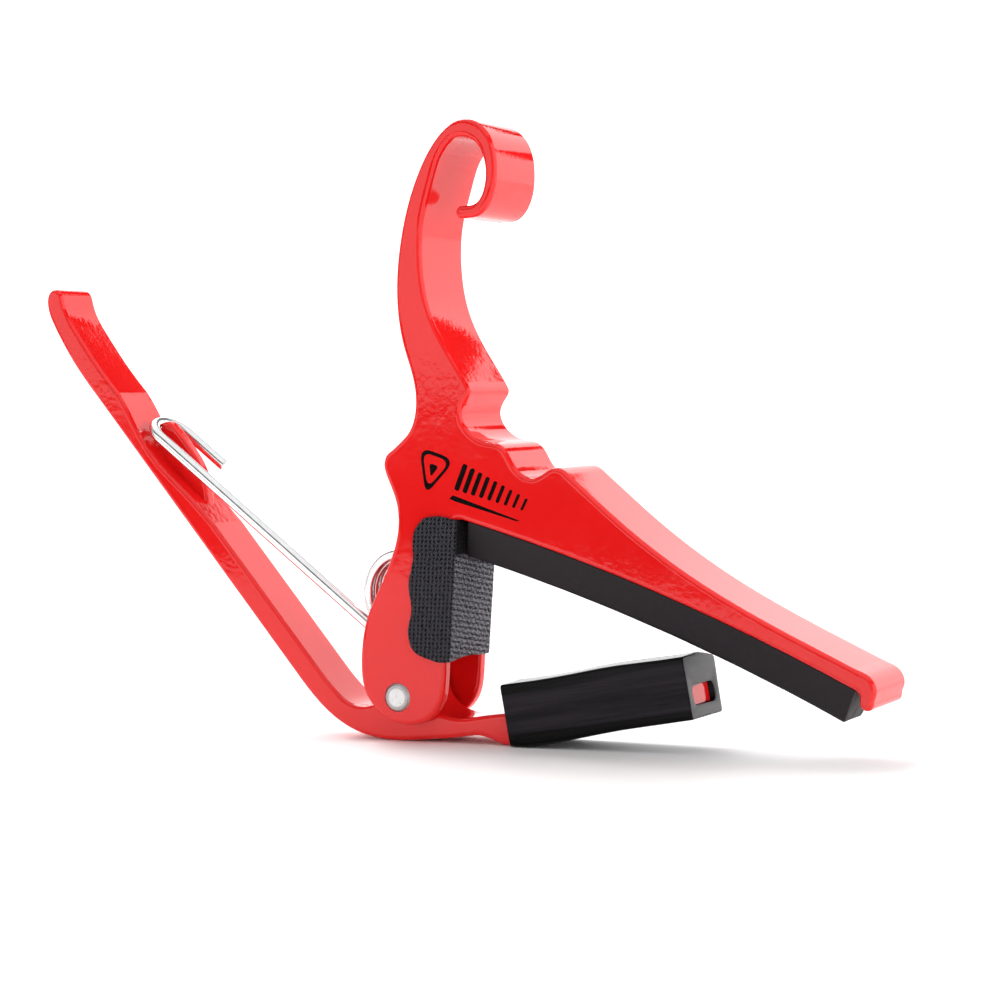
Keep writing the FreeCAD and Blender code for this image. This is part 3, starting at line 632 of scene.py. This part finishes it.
def make_cloth(material):
    """Ribbed cloth glued round the front of both ears, with a wavy cut edge on each side."""
    flap, turn, front, rows = 72, 6, 110, 170
    half = -NEAR_Y / MM
    side_y = half + CLOTH_THICK + 0.03
    across = 2 * (side_y - FOLD_R)

    def proud(w, v):
        """How far the outside stands before the ears, most at the near fold."""
        return 0.97 - 0.42 * w - 0.10 * (1 - w) * (1 - v) - 0.25 * w * (1 - v)

    def fold_x(w, v):
        return ear_front(CLOTH_LOW + (CLOTH_HIGH - CLOTH_LOW) * v) + proud(w, v) - FOLD_R

    def flap_point(u, v, w):
        """u: 0 at the wavy edge, 1 at the fold. v: 0 at the bottom, 1 at the top."""
        left = spline(WAVE, v)
        right = (fold_x(w, v), CLOTH_LOW + (CLOTH_HIGH - CLOTH_LOW) * v)
        (lx, lz), (hx, hz) = WAVE[0], WAVE[-1]
        rx, rz = fold_x(w, 0), CLOTH_LOW
        sx, sz = fold_x(w, 1), CLOTH_HIGH
        low = (lx + (rx - lx) * u, lz + (rz - lz) * math.sin(u * math.pi / 2) - 0.12 * math.sin(math.pi * u))
        high = (hx + (sx - hx) * u, hz + (sz - hz) * u + 0.38 * math.sin(math.pi * u))
        x = (1 - u) * left[0] + u * right[0] + (1 - v) * low[0] + v * high[0]
        x -= (1 - u) * ((1 - v) * lx + v * hx) + u * ((1 - v) * rx + v * sx)
        z = (1 - u) * left[1] + u * right[1] + (1 - v) * low[1] + v * high[1]
        z -= (1 - u) * ((1 - v) * lz + v * hz) + u * ((1 - v) * rz + v * sz)
        return x, z

    arc = FOLD_R * math.pi / 2
    columns = []
    for i in range(flap):
        columns.append(("near", i / flap, i * 7.0 / flap - 7.0))
    for i in range(turn):
        columns.append(("fold_in", i / turn, arc * i / turn))
    for i in range(front + 1):
        columns.append(("front", i / front, arc + across * i / front))
    for i in range(1, turn + 1):
        columns.append(("fold_out", i / turn, arc + across + arc * i / turn))
    for i in range(1, flap + 1):
        columns.append(("far", 1 - i / flap, 2 * arc + across + 7.0 * i / flap))

    def place(part, t, v):
        z = CLOTH_LOW + (CLOTH_HIGH - CLOTH_LOW) * v
        if part == "near":
            x, z = flap_point(t, v, 0.0)
            return Vector((x, -side_y, z))
        if part == "far":
            x, z = flap_point(t, v, 1.0)
            return Vector((x, side_y, z))
        lift = 0.32 * (1 - v) ** 4
        if part == "front":
            rise = lift * math.sin(math.pi * min(1.0, 1.15 * t)) ** 1.5
            return Vector((fold_x(t, v) + FOLD_R, -(side_y - FOLD_R) + across * t, z + rise))
        turned = t * math.pi / 2
        if part == "fold_in":
            return Vector((fold_x(0, v) + FOLD_R * math.sin(turned),
                           -(side_y - FOLD_R) - FOLD_R * math.cos(turned), z))
        return Vector((fold_x(1, v) + FOLD_R * math.cos(turned),
                       (side_y - FOLD_R) + FOLD_R * math.sin(turned), z))

    def relief(s, z):
        """Height of the knit: a pit at each crossing of a rib gap and a row gap."""
        wander = 0.15 * noise.noise(Vector((s * 0.7, z * 0.7, 1.0)))
        rib = math.cos(2 * math.pi * (s + wander) / RIB)
        row = math.cos(2 * math.pi * (z + wander) / COURSE)
        pit = min(1.0, max(0.0, rib + row - 0.5))
        return -0.11 * pit + 0.05 * noise.noise(Vector((s * 1.6, z * 1.6, 3.0)))

    grid = [[place(part, t, j / rows) for part, t, s in columns] for j in range(rows + 1)]
    wide = len(columns)
    points, faces, marks = [], [], []
    for layer in (0, 1):
        for j in range(rows + 1):
            for i in range(wide):
                here = grid[j][i]
                along = grid[j][min(wide - 1, i + 1)] - grid[j][max(0, i - 1)]
                above = grid[min(rows, j + 1)][i] - grid[max(0, j - 1)][i]
                out = along.cross(above).normalized()
                s = columns[i][2]
                if columns[i][0] in ("near", "far"):
                    reach = here.x - (fold_x(0, j / rows) if columns[i][0] == "near" else fold_x(1, j / rows))
                    s = reach if columns[i][0] == "near" else 2 * arc + across - reach
                edge = min(i, wide - 1 - i, j, rows - j)
                fade = min(1.0, edge / 3.0)
                ragged = 0.05 * noise.noise(here * 2.3) * (1 - fade)
                push = relief(s, here.z) * fade - 0.10 * (1 - fade) if layer == 0 else -CLOTH_THICK
                marks.append((s, here.z))
                points.append(at(*(here + out * push + Vector((ragged, 0, ragged * 0.7)))))
    size = (rows + 1) * wide
    for j in range(rows):
        for i in range(wide - 1):
            a = j * wide + i
            faces.append((a, a + 1, a + wide + 1, a + wide))
            faces.append((size + a, size + a + wide, size + a + wide + 1, size + a + 1))
    border = list(range(wide)) + [j * wide + wide - 1 for j in range(1, rows + 1)]
    border += [rows * wide + i for i in range(wide - 2, -1, -1)]
    border += [j * wide for j in range(rows - 1, 0, -1)]
    for a, b in zip(border, border[1:] + border[:1]):
        faces.append((a, size + a, size + b, b))
    piece = add_mesh("neck_cloth", points, faces, [material])
    layer = piece.data.uv_layers.new(name="UVMap")
    for loop in piece.data.loops:
        layer.data[loop.index].uv = marks[loop.vertex_index]
    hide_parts("neck_pad")
    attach(piece, "clamp_body")
    return piece


# ------------------------------------------------------------ printed motif
MOTIF_AT = (12.0, 28.9)
MOTIF_SIZE = 1.12
MOTIF_TILT = math.radians(-19.0)


def make_motif(material):
    """Generic print on the near face: a plectrum outline, a row of upright strokes and a rule."""
    face_y = NEAR_Y / MM - 0.012
    cos_t, sin_t = math.cos(MOTIF_TILT), math.sin(MOTIF_TILT)

    def place(u, w, y):
        u, w = u * MOTIF_SIZE, w * MOTIF_SIZE
        return at(MOTIF_AT[0] + u * cos_t - w * sin_t, y, MOTIF_AT[1] + u * sin_t + w * cos_t)

    points, faces = [], []

    def solid(shape):
        first, total = len(points), len(shape)
        points.extend(place(p.x, p.y, face_y) for p in shape)
        points.extend(place(p.x, p.y, face_y + 0.02) for p in shape)
        faces.append(tuple(range(first, first + total)))
        faces.extend(bridge(first, first + total, total))

    def ring(outer, inner):
        first, total = len(points), len(outer)
        points.extend(place(p.x, p.y, face_y) for p in outer + inner)
        points.extend(place(p.x, p.y, face_y + 0.02) for p in outer + inner)
        faces.extend(bridge(first, first + total, total))
        faces.extend(bridge(first, first + 2 * total, total))
        faces.extend(bridge(first + total, first + 3 * total, total))

    def plectrum(grow):
        top, round_off = 2.3 + grow * 0.7, 1.2 + grow * 0.5
        return rounded_ring([(-8.1 - grow, top, round_off), (-5.5, -3.0 - grow * 1.3, 0.7),
                             (-2.9 + grow, top, round_off)], 64)

    ring(plectrum(0.0), plectrum(-0.62))
    solid(rounded_ring([(-6.2, 0.85, 0.35), (-5.5, -0.75, 0.2), (-4.8, 0.85, 0.35)], 32))
    for k in range(9):
        left = -1.7 + 1.12 * k
        half = 0.34 - 0.020 * k
        top, low = 2.25 - 0.16 * k, -1.15 + 0.07 * k
        solid(rounded_ring([(left - half, low, 0.12), (left + half, low, 0.12),
                            (left + half + 0.25, top, 0.12), (left - half + 0.25, top, 0.12)], 24))
    solid(rounded_ring([(-2.3, -2.5, 0.1), (7.6, -2.02, 0.05), (7.6, -1.85, 0.05), (-2.3, -1.85, 0.1)], 24))
    piece = add_mesh("printed_motif", points, faces, [material], smooth=False)
    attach(piece, "clamp_body")
    return piece


# ------------------------------------------------------------------- stage
REAR_BANDS = [(0.0, 1.75), (0.54, 1.75), (0.56, 0.03), (0.70, 0.03), (0.74, 1.05)]
FRONT_BANDS = [(0.0, 0.02), (0.0005, 0.02), (0.003, 1.5), (0.40, 1.5),
               (0.43, 0.05), (0.70, 0.05), (0.74, 1.05)]
SIDE_BANDS = [(0.0, 0.42), (0.70, 0.42), (0.74, 1.05)]


def make_stage():
    floor = add_mesh("floor", [(-3, -3, 0), (3, -3, 0), (3, 3, 0), (-3, 3, 0)], [(0, 1, 2, 3)], [])
    m = Nodes("floor")
    tone = m.noise(m.where(), 3.0, 1.0)
    m.set(Base_Color=m.ramp(tone, [(0.0, (0.93, 0.93, 0.93)), (1.0, (0.95, 0.95, 0.95))]), Roughness=0.6)
    floor.data.materials.append(m.material)

    world = bpy.data.worlds.new("studio")
    scene.world = world
    world.use_nodes = True
    m = Nodes("studio", world.node_tree)
    looking = m.add("VectorMath", {"operation": "NORMALIZE"})
    m.put(looking.inputs[0], m.place.outputs["Generated"])
    parts = m.add("SeparateXYZ", {}, Vector=looking.outputs["Vector"])
    height = parts.outputs["Z"]
    flat = m.math("SQRT", m.math("ADD", m.math("MULTIPLY", parts.outputs["X"], parts.outputs["X"]),
                                 m.math("MULTIPLY", parts.outputs["Y"], parts.outputs["Y"])))
    facing = m.math("ADD", m.math("MULTIPLY", parts.outputs["X"], -0.45),
                    m.math("MULTIPLY", parts.outputs["Y"], -0.893))
    facing = m.math("DIVIDE", facing, m.math("MAXIMUM", flat, 0.001))

    def bands(stops):
        return m.ramp(height, [(z, (v, v, v)) for z, v in stops])

    rear = m.math("MULTIPLY", bands(REAR_BANDS), m.span(facing, 0.10, 0.20, 1.0, 0.0))
    front = m.math("MULTIPLY", bands(FRONT_BANDS), m.span(facing, 0.80, 0.86, 0.0, 1.0))
    middle = m.math("MULTIPLY", m.span(facing, 0.10, 0.20, 0.0, 1.0), m.span(facing, 0.80, 0.86, 1.0, 0.0))
    side = m.math("MULTIPLY", bands(SIDE_BANDS), middle)
    back = m.tree.nodes["Background"]
    m.put(back.inputs["Strength"], m.math("ADD", rear, m.math("ADD", front, side)))
    back.inputs["Color"].default_value = (1, 1, 1, 1)


def dark_card(name, points, faces):
    """Dark surface that the glossy faces mirror; the camera and the soft light pass it by."""
    piece = add_mesh(name, points, faces, [])
    m = Nodes(name)
    m.set(Base_Color=(0.004, 0.004, 0.004, 1), Roughness=1.0, Specular_IOR_Level=0.0)
    piece.data.materials.append(m.material)
    piece.visible_camera = False
    piece.visible_shadow = False
    piece.visible_diffuse = False


FLOOR_NEAR, FLOOR_FAR = 0.40, 2.9        # the dark floor's ring, in metres
FLOOR_FROM, FLOOR_SWEEP = 190.0, 100.0   # and its part of a turn, in degrees
FLOOR_STEPS = 24
CARD_Y = 0.12                            # how far behind the object the small cards stand


def make_cards():
    """The dark floor in front and to the left, and small dark cards behind, all for the coat to mirror."""
    ring = []
    for k in range(FLOOR_STEPS + 1):
        turn = math.radians(FLOOR_FROM + FLOOR_SWEEP * k / FLOOR_STEPS)
        ring += [(r * math.cos(turn), r * math.sin(turn), 0.0006) for r in (FLOOR_NEAR, FLOOR_FAR)]
    dark_card("dark_floor", ring, [(2 * k, 2 * k + 1, 2 * k + 3, 2 * k + 2) for k in range(FLOOR_STEPS)])
    above = {
        "gap_hook": [(-0.030, 0.138), (0.006, 0.138), (0.006, 0.144), (-0.030, 0.144)],
        "gap_shoulder": [(0.014, 0.094), (0.032, 0.094), (0.032, 0.104), (0.014, 0.104)],
        "gap_neck": [(0.028, 0.107), (0.064, 0.107), (0.064, 0.121), (0.028, 0.121)],
    }
    for name, outline in above.items():
        dark_card(name, [(x, CARD_Y, z) for x, z in outline], [(0, 1, 2, 3)])


def lamp(name, place, aim, size, power, tint=(1, 1, 1)):
    light = bpy.data.lights.new(name, "AREA")
    light.shape = "RECTANGLE"
    light.size, light.size_y = size
    light.energy = power
    light.color = tint
    piece = bpy.data.objects.new(name, light)
    scene.collection.objects.link(piece)
    piece.location = place
    piece.rotation_euler = (Vector(aim) - Vector(place)).to_track_quat("-Z", "Y").to_euler()
    piece.visible_glossy = False


KEY_SPREAD = 42.0                 # degrees across the soft sun
KEY_FROM = (-0.62, 0.42, 0.80)


def key_light(power):
    """Wide, soft light from the upper left and behind; it draws the shadow out to the right."""
    light = bpy.data.lights.new("key_light", "SUN")
    light.energy = power
    light.angle = math.radians(KEY_SPREAD)
    piece = bpy.data.objects.new("key_light", light)
    scene.collection.objects.link(piece)
    piece.rotation_euler = Vector(KEY_FROM).to_track_quat("Z", "Y").to_euler()


make_camera()
make_stage()
centre = (0.0, 0.0, 0.04)
key_light(2.3)
lamp("side_right", (1.2, 0.25, 0.35), centre, (0.6, 0.5), 4.0)
make_cards()

coat = red_coat()
dress("body", coat)
dress("lever", coat)
dress("pivot_rivet", rivet_steel())
make_spring(bright_wire())
make_boot(boot_skin((0.0, -BOOT_TILT, 0.0)), boot_cut())
make_string_pad(pad_rubber())
make_cloth(ribbed_cloth())
make_motif(print_ink())

scene.view_settings.view_transform = "Standard"
